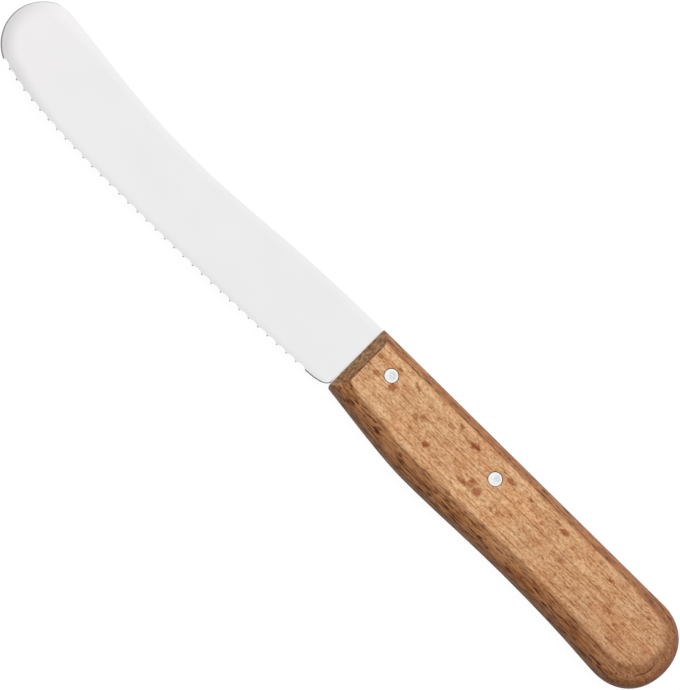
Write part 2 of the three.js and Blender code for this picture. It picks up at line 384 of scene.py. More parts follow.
def rim_section(point):
    """Section of the rim at a place on the outline: pairs of inset and height, from the wall upwards."""
    width, fall = margin(point)
    shoulder = half_sheet(point.y) - fall
    round_width = RIM_ROUND_ALONG + (RIM_ROUND_TIP - RIM_ROUND_ALONG) * near_tip(point)
    round_height = min(round_width, shoulder - RIM_WALL)
    section = []
    for step in range(ROUND_STEPS):
        turn = math.radians(90) * step / ROUND_STEPS
        height = shoulder - round_height * (1 - math.sin(turn))
        section.append(Vector((round_width * (1 - math.cos(turn)), height)))
    for step in range(MARGIN_STEPS + 1):
        left = 1 - step / MARGIN_STEPS
        inset = width - (width - round_width) * left
        section.append(Vector((inset, half_sheet(point.y) - fall * left**2)))
    return section


# %% Blade body
FRONT_INSET = 0.3
SAW_SNAP = 1e-5


def section_rings(points, sections):
    """Rings of a piece that is alike above and below, from the lower face round the rim to the upper."""
    levels = []
    for step in range(len(sections[0])):
        ring = shrink(points, [section[step].x for section in sections])
        levels.append([(p.x, p.y, section[step].y) for p, section in zip(ring, sections)])
    return [[(x, y, -z) for x, y, z in ring] for ring in reversed(levels)] + levels


def saw(place, normal):
    """In edit mode, takes off what lies beyond a plane and closes the cut."""
    bpy.ops.mesh.select_all(action="SELECT")
    bpy.ops.mesh.bisect(
        plane_co=place, plane_no=normal, use_fill=True, clear_outer=True, threshold=SAW_SNAP
    )


blade = skin("blade_body", section_rings(outline, [rim_section(point) for point in outline]))
bpy.ops.object.mode_set(mode="EDIT")
saw((FRONT_INSET - SHOULDER_GAP, 0, 0), (1, 0, 0))
bpy.ops.object.mode_set(mode="OBJECT")
print("blade body of", len(blade.data.polygons), "faces")

# %% [markdown]
# ## Steel finishes
# The blade is hardened stainless steel, ground and then satin polished across its length: bright, a little
# soft, with hair lines too fine to see one by one. Towards the handle it is painted a little darker, as
# shade. The rim along the spine is polished too. From the tip to the heel the rim keeps the dull grey of the
# punched cut, and so do the edges of the tang. Part of that grey is painted shade, for the dark reflection
# on the edge's side, and the rim is painted lighter where it turns up to the spine, as painted light. The
# hollows of the teeth are left as ground. One steel with masks could show all three, but each is plainer as
# its own material.

# %% Satin polished stainless steel
BRIGHT_STEEL = "#F5F3F4"
BRIGHTEST_STEEL = "#FAF8F9"
# Painted shade: the tint that darkens the steel towards the handle, and the run over which it comes in
ROOT_SHADE_TINT = "#FAFCFB"
ROOT_SHADE_RUN = (-110.0, -30.0)
SATIN_PATTERNS = {"lines": ((0.3, 7.0, 7.0), 3.0), "cloud": ((14.0, 9.0, 9.0), 2.0)}
LINE_SHARE = 0.5
SATIN_ROUGHNESS = (0.22, 0.3)


def satin_steel():
    """A soft bright metal with painted shade near the handle. Its lines, 0.3 mm wide so that they show, run
    across.
    """
    material, add, given = new_material("stainless_steel_satin_polished", SATIN_PATTERNS)
    blend = add("Math", {0: given["lines"], 1: LINE_SHARE, 2: given["cloud"]}, operation="MULTIPLY_ADD")
    colour = add("Mix", {0: blend, 6: linear(BRIGHT_STEEL), 7: linear(BRIGHTEST_STEEL)}, data_type="RGBA")
    along = add("SeparateXYZ", {"Vector": given["place"]}).outputs["X"]
    # Painted shade: the colour darkens a little towards the handle
    root_shade_start, root_shade_end = [knife_axis.x / MM + length for length in ROOT_SHADE_RUN]
    shaded = add("MapRange", {"Value": along, 1: root_shade_start, 2: root_shade_end})
    tone = add("Mix", {0: shaded, 6: colour, 7: linear(ROOT_SHADE_TINT)}, data_type="RGBA", blend_type="MULTIPLY")
    smoothest, roughest = SATIN_ROUGHNESS
    rough = add("MapRange", {"Value": given["lines"], 3: smoothest, 4: roughest})
    shader = add("BsdfPrincipled", {"Base Color": tone, "Metallic": 1.0, "Roughness": rough})
    add("OutputMaterial", {"Surface": shader})
    return material


satin = satin_steel()
print("finish", satin.name)

# %% Punched rim, with painted shade and painted light
PUNCH_PATTERN = {"grain": ((0.6, 0.6, 0.2), 3.0)}
# Painted light: where the rim, turning towards the spine, is painted lighter, and by how much
SPINE_LIGHT_START = 0.05
SPINE_LIGHT_FULL = 0.25
SPINE_LIGHT_SHARE = 0.65


def punched_rim_and_shade():
    """The matt grey wall a punch leaves, rougher than the faces: partly painted shade, painted lighter
    towards the spine.
    """
    material, add, given = new_material("stainless_steel_punched_rim_and_shade", PUNCH_PATTERN)
    # The punched steel's grey, partly painted shade for the dark reflection on the edge's side
    colour = add("Mix", {0: given["grain"], 6: linear("#B0B0B3"), 7: linear("#C4C4C7")}, data_type="RGBA")
    normal = add("TexCoord").outputs["Normal"]
    to_spine = add("SeparateXYZ", {"Vector": normal}).outputs["Y"]
    # Painted light: the rim is painted lighter where it faces the spine's side
    spine_side_light = add("MapRange", {"Value": to_spine, 1: SPINE_LIGHT_START, 2: SPINE_LIGHT_FULL, 4: SPINE_LIGHT_SHARE})
    tone = add("Mix", {0: spine_side_light, 6: colour, 7: linear(BRIGHT_STEEL)}, data_type="RGBA")
    shader = add("BsdfPrincipled", {"Base Color": tone, "Metallic": 1.0, "Roughness": 0.45})
    add("OutputMaterial", {"Surface": shader})
    return material


rim = punched_rim_and_shade()
print("finish", rim.name)

# %% Ground steel
GRIND_PATTERN = {"streaks": ((0.12, 3.0, 3.0), 2.0)}


def ground_steel():
    """The bright hollow of a tooth, with the wheel's streaks along the cut."""
    material, add, given = new_material("stainless_steel_ground_teeth", GRIND_PATTERN)
    tone = add("Mix", {0: given["streaks"], 6: linear("#C4C5C8"), 7: linear("#E6E7E9")}, data_type="RGBA")
    shader = add("BsdfPrincipled", {"Base Color": tone, "Metallic": 1.0, "Roughness": 0.3})
    add("OutputMaterial", {"Surface": shader})
    return material


ground = ground_steel()
print("finish", ground.name)

# %% Rim and faces get their steel
RIM_LEAN = math.radians(13)
SPINE_FACING = 0.97


def on_dull_shaded_rim(face):
    """True for a face that leans away from level, unless it looks straight at the spine's side."""
    leaning = abs(face.normal.z) < math.cos(RIM_LEAN)
    return leaning and face.normal.y < SPINE_FACING * face.normal.xy.length


def give_steel(piece, is_dull_shaded):
    """Gives a piece satin steel, and the punched rim's matt steel, partly painted shade, to the faces that
    pass a test.
    """
    for steel in (satin, rim):
        piece.data.materials.append(steel)
    activate(piece)
    bpy.ops.object.mode_set(mode="EDIT")
    dull_shaded_faces = pick("FACE", is_dull_shaded)
    piece.active_material_index = 1
    bpy.ops.object.material_slot_assign()
    bpy.ops.object.mode_set(mode="OBJECT")
    print("dull rim of", dull_shaded_faces, "faces")


give_steel(blade, on_dull_shaded_rim)

# %% [markdown]
# ## The teeth
# Each tooth gap is hollow ground from the lower face: a wheel comes in at a flat angle, so the upper face
# shows only a shallow scallop. The wheel's rim is modelled once, as the strip of a big cylinder that does
# the cutting, and copied to every gap. A narrow, low land of the old rim stays between two gaps: the point
# of the tooth. Below it the edge is ground flat, so the tool is the strip on a wider block. Neighbours
# overlap, so the odd and the even gaps are cut in two goes.

# %% The grinding wheel
TOOTH_DEPTH = 0.45
TOOTH_LAND = 0.36
LAND_HEIGHT = 0.25
GRIND_ANGLE = math.radians(20)
OVERCUT = 2.0
BLOCK_OVERLAP = 1.05
WHEEL_SIDES = 360

tooth_points = spaced(edge_line(), TEETH)
pitch = (tooth_points[1] - tooth_points[0]).length
half_chord = (pitch - TOOTH_LAND) / 2
sag = TOOTH_DEPTH * math.sin(GRIND_ANGLE)
wheel_radius = (half_chord**2 + sag**2) / (2 * sag)
strip_depth = TOOTH_DEPTH + OVERCUT
strip_length = SHEET / math.sin(GRIND_ANGLE) + 2 * OVERCUT


def wheel_strip():
    """The cutting strip of the grinding wheel, its deepest line at the origin and its length along Z."""
    bpy.ops.mesh.primitive_cylinder_add(vertices=WHEEL_SIDES, radius=wheel_radius, depth=strip_length)
    made = bpy.context.object
    bpy.ops.object.mode_set(mode="EDIT")
    bpy.ops.transform.translate(value=(0, -wheel_radius, 0))
    saw((half_chord, 0, 0), (1, 0, 0))
    saw((-half_chord, 0, 0), (-1, 0, 0))
    saw((0, -strip_depth, 0), (0, -1, 0))
    bpy.ops.object.mode_set(mode="OBJECT")
    block_top = -sag - LAND_HEIGHT
    bpy.ops.mesh.primitive_cube_add(
        size=1,
        location=(0, (block_top - strip_depth - OVERCUT) / 2, 0),
        scale=(pitch * BLOCK_OVERLAP, block_top + strip_depth + OVERCUT, strip_length - OVERCUT),
    )
    block = bpy.context.object
    for tool in (made, block):
        tool.data.materials.append(ground)
    combine(made, block, "UNION")
    return made


strip = wheel_strip()
print(f"wheel of {wheel_radius:.1f} mm, its strip {2 * half_chord:.2f} mm wide")

# %% Grind the teeth
def tooth_place(start, end):
    """Where the strip lies for the gap between two tooth points."""
    along = (end - start).normalized()
    inward = Vector((-along.y, along.x))
    valley = start.lerp(end, 0.5) + inward * TOOTH_DEPTH
    width, fall = margin(valley)
    drop = fall * (1 - TOOTH_DEPTH / width) ** 2
    across = inward.to_3d()
    up = Vector((0, 0, 1))
    normal = across * math.sin(GRIND_ANGLE) + up * math.cos(GRIND_ANGLE)
    axis = up * math.sin(GRIND_ANGLE) - across * math.cos(GRIND_ANGLE)
    bottom = Vector((valley.x, valley.y, half_sheet(valley.y) - drop))
    centre = bottom - axis * (strip_length / 2 - OVERCUT)
    turn = Matrix((along.to_3d(), normal, axis)).transposed()
    return Matrix.Translation(centre) @ turn.to_4x4()


for first in (0, 1):
    copies = []
    for gap in range(first, TEETH, 2):
        copy = strip.copy()
        copy.data = strip.data.copy()
        bpy.context.collection.objects.link(copy)
        copy.matrix_world = tooth_place(tooth_points[gap], tooth_points[gap + 1])
        copies.append(copy)
    bpy.ops.object.select_all(action="DESELECT")
    for copy in copies:
        copy.select_set(True)
    bpy.context.view_layer.objects.active = copies[0]
    bpy.ops.object.join()
    combine(blade, copies[0], "DIFFERENCE")
bpy.data.objects.remove(strip, do_unlink=True)
print(f"{TEETH} teeth, {pitch:.2f} mm apart; blade of", len(blade.data.polygons), "faces")

# %% [markdown]
# ## The tang
# The tang is the blank's own tail, sunk into the handle's slot, so little of it shows but its back along
# the spine. A cube is drawn out to its length, narrowed towards its end and rounded there, welded to the
# blade, and drilled for the rivets. Its back follows the handle's spine, a hair lower.

# %% Sizes of tang and rivets
HANDLE_TOP_FRONT = 10.9
HANDLE_TOP_REAR = 11.45
BUTT_RADIUS = (HANDLE_TOP_REAR + BUTT_DEPTH) / 2
BUTT_CENTRE = handle_length - BUTT_RADIUS
TANG_ROOT = 0.1
TANG_DEPTH_FRONT = 4.0
TANG_DEPTH_END = 1.5
TANG_PAST_RIVET = 11.0
TANG_CORNER = 3.0
TANG_CORNER_STEPS = 8
TANG_INSET = 0.2
RIVETS = {"front_rivet": 9.4, "rear_rivet": 44.9}
RIVET_HEIGHT = 3.0
RIVET_SHANK = 1.5
RIVET_FIT = 0.1
ROUND_SIDES = 64
NEAR = 0.1
UPRIGHT = 0.5

tang_end = RIVETS["rear_rivet"] + TANG_PAST_RIVET


def handle_top(x):
    """The height of the handle's straight spine at a length."""
    return HANDLE_TOP_FRONT + (HANDLE_TOP_REAR - HANDLE_TOP_FRONT) * x / BUTT_CENTRE


print(f"tang ends {tang_end:.1f} mm behind the handle's front")

# %% Tang
def at_tang_end(edge):
    """True for the two short edges across the sheet at the tang's end."""
    first, second = edge.verts
    across = abs(first.co.z - second.co.z) > SHEET / 2
    return across and min(first.co.x, second.co.x) > tang_end - NEAR


bpy.ops.mesh.primitive_cube_add(size=1)
tang = bpy.context.object
bpy.ops.object.mode_set(mode="EDIT")
bpy.ops.transform.translate(value=(0.5, 0, 0))
bpy.ops.transform.resize(value=(tang_end - TANG_ROOT, 1, SHEET), center_override=(0, 0, 0))
bpy.ops.transform.translate(value=(TANG_ROOT, 0, 0))
for x, depth in ((TANG_ROOT, TANG_DEPTH_FRONT), (tang_end, TANG_DEPTH_END)):
    for y, target in ((0.5, handle_top(x) - TANG_INSET), (-0.5, -depth)):
        pick("VERT", lambda vertex: abs(vertex.co.x - x) < NEAR and abs(vertex.co.y - y) < NEAR)
        bpy.ops.transform.translate(value=(0, target - y, 0))
pick("EDGE", at_tang_end)
bpy.ops.mesh.bevel(offset=TANG_CORNER, segments=TANG_CORNER_STEPS)
bpy.ops.object.mode_set(mode="OBJECT")
give_steel(tang, lambda face: abs(face.normal.z) < UPRIGHT)
combine(blade, tang, "UNION")
print("blade and tang of", len(blade.data.polygons), "faces")

# %% Drill the tang
def drill(place, radius, low, high):
    """A round cutting tool at a rivet's place along the knife, from a low to a high end."""
    bpy.ops.mesh.primitive_cylinder_add(
        vertices=ROUND_SIDES,
        radius=radius,
        depth=high - low,
        location=(place, RIVET_HEIGHT, (low + high) / 2),
    )
    return bpy.context.object


for place in RIVETS.values():
    combine(blade, drill(place, RIVET_SHANK + RIVET_FIT, -SHEET, SHEET), "DIFFERENCE")
settle(blade, "blade", smooth_angle=14)

# %% [markdown]
# ## The handle's shape
# One block of beech, shaped in plan by a template. Its sides are then planed, so that they lean in from a
# narrow upright wall to a soft crease at each broad face. The side is wider along the grip's belly than
# along the spine, and widest at the butt, where the crease is softest. A bevel has one width, so rings are
# bridged again: the wall, steps up the leaning side and steps round the crease.

# %% Places, slopes and section of the handle
HANDLE_FRONT_DEPTH = 8.5
GRIP_BELLY = Vector((29.5, -11.55))
GRIP_WAIST = Vector((63.0, -10.8))
AHEAD_OF_FRONT = 6.0
BUTT_FULLNESS = 0.59
PLAN_STEPS = 24
BACK_STEPS = 40

# Each pair is a slope and the share of its run that holds it
GRIP_AT_FRONT = (-0.125, 0.41)
BELLY_FROM_FRONT = (0, 0.25)
BELLY_TO_WAIST = (0, 0.34)
WAIST_FROM_BELLY = (0, 0.39)
WAIST_TO_BUTT = (0, 0.65)
BUTT_FROM_WAIST = (0, 0.15)

# The section of the side
WALL_HALF = 1.2
SIDE_LEAN = math.radians(36)
SIDE_HOLD = 0.4
SPINE_SIDE_WIDTH = 3.4
EDGE_SIDE_WIDTH = 4.2
BUTT_SIDE_MORE = 1.1
FRONT_SIDE_LESS = 0.8
BUTT_START = 86.0
CREASE_SOFT_FRONT = 0.6
CREASE_SOFT_GRIP = 0.8
CREASE_SOFT_BUTT = 1.7
SIDE_STEPS = 9
CREASE_STEPS = 5


# %% Handle body
def handle_outline():
    """Points round the handle: along the grip's belly, round the butt and back along the straight spine."""
    front = Vector((0, -HANDLE_FRONT_DEPTH))
    butt_low = Vector((BUTT_CENTRE, -BUTT_DEPTH))
    butt_high = Vector((BUTT_CENTRE, HANDLE_TOP_REAR))
    end = Vector((handle_length, HANDLE_TOP_REAR - BUTT_RADIUS))
    back = Vector((BUTT_FULLNESS * BUTT_RADIUS, 0))
    up = Vector((0, BUTT_FULLNESS * BUTT_RADIUS))
    points = [front - Vector((AHEAD_OF_FRONT, AHEAD_OF_FRONT * GRIP_AT_FRONT[0]))]
    points += walk(flow(front, GRIP_BELLY, GRIP_AT_FRONT, BELLY_FROM_FRONT), PLAN_STEPS)[1:]
    points += walk(flow(GRIP_BELLY, GRIP_WAIST, BELLY_TO_WAIST, WAIST_FROM_BELLY), PLAN_STEPS)
    points += walk(flow(GRIP_WAIST, butt_low, WAIST_TO_BUTT, BUTT_FROM_WAIST), PLAN_STEPS)
    points += walk((butt_low, butt_low + back, end - up, end), PLAN_STEPS)
    points += walk((end, end + up, butt_high + back, butt_high), PLAN_STEPS)
    for step in range(BACK_STEPS + 1):
        x = BUTT_CENTRE - (BUTT_CENTRE + AHEAD_OF_FRONT) * step / BACK_STEPS
        points.append(Vector((x, handle_top(x))))
    return points


def side_section(point):
    """Section of the side at a place on the outline: pairs of inset and height, from the wall upwards."""
    low = (HANDLE_TOP_REAR - point.y) / (HANDLE_TOP_REAR + BUTT_DEPTH)
    rear = min(1.0, max(0.0, (point.x - BUTT_START) / (handle_length - BUTT_START)))
    front = min(1.0, max(0.0, 1 - point.x / GRIP_BELLY.x))
    width = SPINE_SIDE_WIDTH + (EDGE_SIDE_WIDTH - SPINE_SIDE_WIDTH) * low + BUTT_SIDE_MORE * rear
    width -= FRONT_SIDE_LESS * front * low
    soft = CREASE_SOFT_GRIP + (CREASE_SOFT_FRONT - CREASE_SOFT_GRIP) * front
    soft += (CREASE_SOFT_BUTT - CREASE_SOFT_GRIP) * rear
    lean = Vector((math.cos(SIDE_LEAN), math.sin(SIDE_LEAN)))
    wall = Vector((0, WALL_HALF))
    wall_top = wall + Vector((0, (half_thickness - WALL_HALF) / 2))
    crease = Vector((width, half_thickness))
    side_top = crease - lean * soft
    level = crease + Vector((soft, 0))
    side = walk((wall, wall_top, side_top - lean * width * SIDE_HOLD, side_top), SIDE_STEPS)
    return side + walk(bend(side_top, crease, level), CREASE_STEPS) + [level]


grip = handle_outline()
handle = skin("handle_body", section_rings(grip, [side_section(point) for point in grip]))
print("handle body of", len(handle.data.polygons), "faces")

# %% [markdown]
# ## The handle's front
# The front is sawn square and bevelled up to both broad faces, and its lower corners are eased with a file
# so that they don't catch a finger. Each stroke is a bisect that throws away what lies outside: round the
# corner in plan, and where bevel and side meet, at normals between theirs. The new creases are then found
# by their angle and softened, as sandpaper would.

# %% Plan the strokes
FRONT_BEVEL = 2.85
FRONT_FLAT = 4.0
CORNER_ROUND = 1.0
CORNER_STROKES = 4
MITRE_ROUND = 0.9
MITRE_STROKES = 3

bevel_angle = math.atan2(FRONT_BEVEL, half_thickness - FRONT_FLAT / 2)
side_width = EDGE_SIDE_WIDTH - FRONT_SIDE_LESS
strokes = [((FRONT_INSET, 0, 0), (-1, 0, 0))]
for side in (1, -1):
    bevel = Vector((-math.cos(bevel_angle), 0, side * math.sin(bevel_angle)))
    facet = Vector((0, -math.sin(SIDE_LEAN), side * math.cos(SIDE_LEAN)))
    strokes.append(((FRONT_INSET, 0, side * FRONT_FLAT / 2), bevel))
    meeting = Vector((FRONT_INSET + FRONT_BEVEL, side_width - HANDLE_FRONT_DEPTH, side * half_thickness))
    middle = meeting - (bevel + facet) * MITRE_ROUND / (1 + bevel.dot(facet))
    for step in range(MITRE_STROKES):
        between = bevel.slerp(facet, (step + 1) / (MITRE_STROKES + 1))
        strokes.append((middle + between * MITRE_ROUND, between))
corner_centre = Vector((FRONT_INSET + CORNER_ROUND, CORNER_ROUND - HANDLE_FRONT_DEPTH))
for step in range(CORNER_STROKES):
    turn = math.radians(90) * (step + 0.5) / CORNER_STROKES
    outward = Vector((-math.cos(turn), -math.sin(turn)))
    touch = corner_centre + outward * CORNER_ROUND
    strokes.append(((touch.x, touch.y, 0), (outward.x, outward.y, 0)))
print(len(strokes), "strokes for the handle's front")

# %% Saw, bevel and ease the front
CREASE_ANGLE = math.radians(31)
CREASE_ROUND = 0.22
CREASE_ROUND_STEPS = 3
SMALLEST_EDGE = 0.06

activate(handle)
bpy.ops.object.mode_set(mode="EDIT")
for place, normal in strokes:
    saw(place, normal)
bpy.ops.mesh.select_all(action="SELECT")
bpy.ops.mesh.remove_doubles(threshold=SMALLEST_EDGE)
bpy.ops.mesh.select_mode(type="EDGE")
bpy.ops.mesh.select_all(action="DESELECT")
bpy.ops.mesh.edges_select_sharp(sharpness=CREASE_ANGLE)
bpy.ops.mesh.bevel(offset=CREASE_ROUND, segments=CREASE_ROUND_STEPS, clamp_overlap=False)
bpy.ops.object.mode_set(mode="OBJECT")
print("handle with its front:", len(handle.data.polygons), "faces")

# %% [markdown]
# ## The slot and the rivet seats
# A saw opens the handle along its spine for the tang, and a drill makes the rivets' bores, with a wider
# seat in each face for the spread head. The dark ring round each rivet in the finished knife is the gap to
# that seat.

# %% Saw the slot and drill the seats
SLOT_FIT = 0.1
RIVET_HEAD = 1.8
RIVET_HEAD_GAP = 0.1
SEAT_DEPTH = 1.15

slot_low = -TANG_DEPTH_FRONT - SLOT_FIT
slot_high = HANDLE_TOP_REAR + OVERCUT
slot_length = tang_end + SLOT_FIT + OVERCUT
outside = half_thickness + OVERCUT
seat_floor = half_thickness - SEAT_DEPTH
seat = RIVET_HEAD + RIVET_HEAD_GAP
bpy.ops.mesh.primitive_cube_add(
    size=1,
    location=(slot_length / 2 - OVERCUT, (slot_low + slot_high) / 2, 0),
    scale=(slot_length, slot_high - slot_low, SHEET + 2 * SLOT_FIT),
)
combine(handle, bpy.context.object, "DIFFERENCE")
for place in RIVETS.values():
    combine(handle, drill(place, RIVET_SHANK + RIVET_FIT, -outside, outside), "DIFFERENCE")
    combine(handle, drill(place, seat, seat_floor, outside), "DIFFERENCE")
    combine(handle, drill(place, seat, -outside, -seat_floor), "DIFFERENCE")
print("handle with slot and seats:", len(handle.data.polygons), "faces")

# %% [markdown]
# ## Oiled beech
# Beech is a pale, even wood. On the broad faces it shows thin growth lines along the handle, a dense
# scatter of fine brown grains and some larger flecks, which are its rays cut lengthwise. The narrow sides
# cut those rays across, as long dark dashes, and are a stronger brown. End grain drinks the most oil and
# turns grey brown. A picture of wood would break at every crease, so the grain is made of random patterns
# that run through the block at their own sizes. Each gives a mask, and each mask darkens the pale body by a
# colour of its own, one layer after the other.

# %% Growth lines: height and strength
GROWTH_LINES = ((-5.75, 0.9), (-3.55, 0.8), (-0.6, 0.7), (1.4, 0.9), (4.85, 0.6), (5.65, 0.4), (8.25, 0.7))
GROWTH_LINE_HALF = 0.24
GRAIN_LEAN = -0.005
WAVE_MIDDLE = 0.5
LINE_BREAKS = (0.35, 0.6)
LINE_FAINTEST = 0.4


def growth_lines(add, axes, given):
    """Thin dark lines along the handle, a little wavy, and fainter in places."""
    lean = add("Math", {0: axes.outputs["X"], 1: GRAIN_LEAN, 2: axes.outputs["Y"]}, operation="MULTIPLY_ADD")
    bent = add("Math", {0: given["waves"], 1: lean}, operation="ADD")
    across = add("MapRange", {"Value": bent, 1: WAVE_MIDDLE - BUTT_DEPTH, 2: WAVE_MIDDLE + BUTT_DEPTH})
    lines = add("ValToRGB", {"Fac": across})
    stops = lines.color_ramp.elements
    for stop in stops:
        stop.color = (0, 0, 0, 1)
    for height, strength in GROWTH_LINES:
        for offset, level in ((-GROWTH_LINE_HALF, 0), (0, strength), (GROWTH_LINE_HALF, 0)):
            stop = stops.new((height + offset + BUTT_DEPTH) / (2 * BUTT_DEPTH))
            stop.color = (level, level, level, 1)
    low, high = LINE_BREAKS
    broken = add("MapRange", {"Value": given["breaks"], 1: low, 2: high, 3: LINE_FAINTEST})
    return add("Math", {0: lines, 1: broken}, operation="MULTIPLY")


# %% Ray flecks: length, height, half length, half width and strength
RAY_FLECKS = (
    (4.1, 4.6, 0.75, 0.75, 0.65),
    (6.3, 0.8, 1.0, 0.55, 0.8),
    (9.9, 5.7, 0.7, 0.5, 0.8),
    (11.4, 1.0, 0.95, 0.95, 0.85),
    (12.7, 7.2, 0.8, 0.35, 0.6),
    (16.2, 5.6, 1.0, 0.35, 0.8),
    (20.5, 0.0, 0.75, 0.6, 0.65),
    (22.2, 1.0, 1.0, 0.7, 0.6),
    (27.0, -3.1, 0.75, 0.7, 1.05),
    (28.5, 4.7, 1.0, 0.5, 0.65),
    (30.4, 6.5, 0.7, 0.4, 0.75),
    (35.9, 5.3, 1.4, 0.55, 1.1),
    (39.3, -3.2, 1.6, 0.6, 0.7),
    (41.5, -1.8, 1.0, 1.15, 0.8),
    (43.9, -2.5, 1.2, 1.15, 0.85),
    (48.3, 5.4, 1.15, 0.6, 0.85),
    (49.3, -2.9, 0.5, 0.7, 0.65),
    (51.2, -2.7, 0.6, 0.65, 0.6),
    (53.0, 3.3, 0.8, 0.6, 0.4),
    (54.7, 5.6, 0.9, 0.45, 0.9),
    (56.4, 4.6, 0.75, 0.75, 0.35),
    (60.5, 3.3, 0.75, 0.4, 0.6),
    (63.1, 6.3, 0.9, 0.45, 0.7),
    (66.2, 5.9, 1.05, 0.65, 0.9),
    (70.2, 0.3, 0.8, 0.45, 0.55),
    (81.0, 1.9, 0.8, 0.5, 0.5),
    (82.2, 5.5, 0.85, 0.4, 0.85),
    (86.3, -0.2, 1.0, 1.6, 0.4),
    (92.1, -5.2, 0.95, 0.75, 0.55),
    (95.1, 5.4, 0.7, 0.4, 0.85),
    (100.0, -1.5, 0.75, 0.75, 0.25),
    (100.5, -8.3, 0.7, 0.4, 1.1),
)
FLECK_RAGGED = Vector((1.6, 1.2, 0.0))
FLECK_REACH = 1.5
FLECK_THICK = 2.0
FLECK_EDGE = (0.06, 0.48)


def ray_flecks(add, given):
    """Ragged brown flecks in the upper face."""
    jitter = given["ragged"].outputs["Color"]
    shift = {0: jitter, 1: FLECK_RAGGED, 2: given["place"]}
    ragged = add("VectorMath", shift, operation="MULTIPLY_ADD")
    faint, full = FLECK_EDGE
    flecks = 0.0
    for x, y, half_length, half_width, strength in RAY_FLECKS:
        centre = Vector((x, y, half_thickness)) + FLECK_RAGGED / 2
        reach = (half_length * FLECK_REACH, half_width * FLECK_REACH, FLECK_THICK)
        spot = {"Vector": ragged, "Location": centre, "Scale": reach}
        centred = add("Mapping", spot, vector_type="TEXTURE")
        ball = add("TexGradient", {"Vector": centred}, gradient_type="SPHERICAL")
        fleck = add("MapRange", {"Value": ball.outputs["Fac"], 1: faint, 2: full, 4: strength})
        flecks = add("Math", {0: flecks, 1: fleck}, operation="MAXIMUM")
    return flecks


# %% A fine dark arc near the butt
ARC_CENTRE = (98.8, -2.7, 0.0)
ARC_RADIUS = 5.3
ARC_HALF = 0.3
ARC_ENDS = (-6.6, -1.5)
ARC_FADE = (0.3, 0.6)
ALL_DEPTHS = 1000.0


def butt_dark_arc(add, place, axes):
    """A fine dark line near the butt: part of a circle in plan, fading at both ends."""
    circle = {"Vector": place, "Location": ARC_CENTRE, "Scale": (ARC_RADIUS, ARC_RADIUS, ALL_DEPTHS)}
    turned = add("Mapping", circle, vector_type="TEXTURE")
    radius = add("VectorMath", {0: turned}, operation="LENGTH")
    off = add("Math", {0: radius, 1: 1.0}, operation="SUBTRACT")
    aside = add("Math", {0: off}, operation="ABSOLUTE")
    core = add("MapRange", {"Value": aside, 1: ARC_HALF / ARC_RADIUS, 2: 0.0})
    behind = add("Math", {0: axes.outputs["X"], 1: ARC_CENTRE[0]}, operation="GREATER_THAN")
    dark_arc = add("Math", {0: core, 1: behind}, operation="MULTIPLY")
    for end, inwards in zip(ARC_ENDS, (1, -1)):
        start = end - ARC_FADE[0] * inwards
        full = end + ARC_FADE[1] * inwards
        fade = add("MapRange", {"Value": axes.outputs["Y"], 1: start, 2: full})
        dark_arc = add("Math", {0: dark_arc, 1: fade}, operation="MULTIPLY")
    return dark_arc


# %% How the block is cut: front, sides and butt
FRONT_FACING = (0.35, 0.7)
SIDE_FACING = (0.98, 0.78)
BUTT_FACING = (0.15, 0.95)
REAR_DARKENS = (55.0, 100.0)
BRINK_DEPTHS = (0.8, 0.3)
BRINK = [FRONT_INSET + FRONT_BEVEL - depth for depth in BRINK_DEPTHS]
GRAINS_ON_SIDE = 0.35


def wood_cuts(add, axes):
    """Masks by name, from the way that the surface faces and from its place along the handle."""
    normal = add("TexCoord").outputs["Normal"]
    facing = add("SeparateXYZ", {"Vector": normal})
    forwards = add("Math", {0: facing.outputs["X"], 1: -1.0}, operation="MULTIPLY")
    level = add("Math", {0: facing.outputs["Z"]}, operation="ABSOLUTE")
    ranges = {
        "front": (forwards, FRONT_FACING),
        "leaning": (level, SIDE_FACING),
        "butt": (facing.outputs["X"], BUTT_FACING),
        "rear": (axes.outputs["X"], REAR_DARKENS),
        "near_brink": (axes.outputs["X"], BRINK),
    }
    cuts = {}
    for name, (value, (start, full)) in ranges.items():
        cuts[name] = add("MapRange", {"Value": value, 1: start, 2: full})
    cuts["open_face"] = add("MapRange", {"Value": cuts["leaning"], 3: 1.0, 4: GRAINS_ON_SIDE})
    for name, other in (("not_front", "front"), ("not_butt", "butt")):
        cuts[name] = add("Math", {0: 1.0, 1: cuts[other]}, operation="SUBTRACT")
    return cuts


# %% Patterns, masks and layers of the wood
WOOD_PATTERNS = {
    "cloud": ((24.0, 5.0, 5.0), 3.0),
    "warmth": ((11.0, 4.0, 4.0), 2.0),
    "mottle": ((4.5, 1.8, 1.8), 3.0),
    "grains": ((0.8, 0.42, 0.42), 4.0),
    "fibres": ((9.0, 0.45, 0.45), 3.0),
    "pores": ((1.6, 0.34, 0.34), 2.0),
    "dashes": ((3.6, 0.36, 0.36), 2.0),
    "waves": ((40.0, 9.0, 9.0), 2.0),
    "breaks": ((6.0, 2.0, 2.0), 2.0),
    "ragged": ((0.9, 0.8, 0.8), 2.0),
    "end_grain": ((2.2, 1.1, 0.6), 3.0),
}
# From where to where a pattern turns from none to full
WOOD_THRESHOLDS = {
    "warmth": (0.4, 0.7),
    "mottle": (0.42, 0.68),
    "grains": (0.42, 0.62),
    "fibres": (0.46, 0.66),
    "pores": (0.59, 0.66),
    "dashes": (0.56, 0.595),
    "end_grain": (0.42, 0.58),
}
